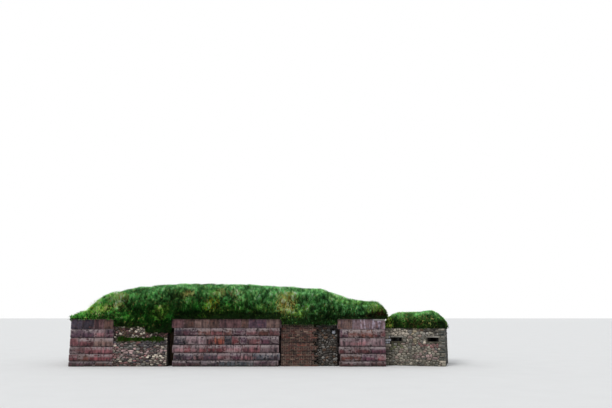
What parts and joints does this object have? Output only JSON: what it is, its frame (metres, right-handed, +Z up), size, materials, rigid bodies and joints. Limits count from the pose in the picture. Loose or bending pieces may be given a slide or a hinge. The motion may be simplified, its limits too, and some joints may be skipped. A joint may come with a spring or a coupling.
{
  "type": "turf-topped coastal battery with pillbox",
  "caption": "Low earth-filled gun battery walled in red sandstone, its embrasures blocked and its top turfed, with a small turf-capped stone pillbox at one end.",
  "frame": {"origin": "on the ground under the middle of the whole plan", "axes": "+X along the front to the right as seen from the front, +Y to the rear, +Z up"},
  "size_m": [19.5762, 6.6, 4.1887],
  "materials": {
    "red_sandstone": "coursed pinkish-red sandstone ashlar, weathered, pale mortar",
    "rubble": "random rubble in greys, buffs and pinks with lime mortar",
    "brick": "old dark red brick, worn, with lime mortar",
    "loose_core": "dark loose rubble and earth",
    "earth": "rammed earth filling",
    "turf": "long shaggy grass on turf",
    "pillbox_stone": "random rubble facing in buff and grey",
    "concrete": "pale weathered cast concrete",
    "coping_stone": "pale worn slab of stone"
  },
  "bodies": {
    "root": {"left_merlon": "red_sandstone", "centre_merlon": "red_sandstone", "right_merlon": "red_sandstone", "left_flank_wall": "red_sandstone", "right_flank_wall": "red_sandstone", "rear_wall_left": "red_sandstone", "rear_wall_centre": "red_sandstone", "rear_wall_right": "red_sandstone", "left_cheek_outer": "red_sandstone", "left_cheek_inner": "red_sandstone", "right_cheek_inner": "red_sandstone", "right_cheek_outer": "red_sandstone", "rubble_blocking_lower": "rubble", "rubble_blocking_upper": "rubble", "brick_blocking": "brick", "rubble_hearting": "loose_core", "rear_blocking_left": "rubble", "rear_blocking_right": "rubble", "earth_bank": "earth", "embrasure_fill": "earth", "turf_mound": "turf", "coping_slab": "coping_stone", "corner_corbel": "red_sandstone", "merlon_coping": "coping_stone", "link_wall": "pillbox_stone", "pillbox_front_wall": "pillbox_stone", "pillbox_rear_wall": "pillbox_stone", "pillbox_left_wall": "pillbox_stone", "pillbox_right_wall": "pillbox_stone", "pillbox_floor": "concrete", "pillbox_roof_slab": "concrete", "pillbox_turf_cap": "turf", "front_loop_lintels": "concrete", "front_loop_sills": "concrete", "side_loop_lintel": "concrete", "side_loop_sill": "concrete", "rear_loop_lintel": "concrete", "rear_loop_sill": "concrete", "door_lintel": "concrete", "door_step": "concrete"}
  },
  "joints": []
}
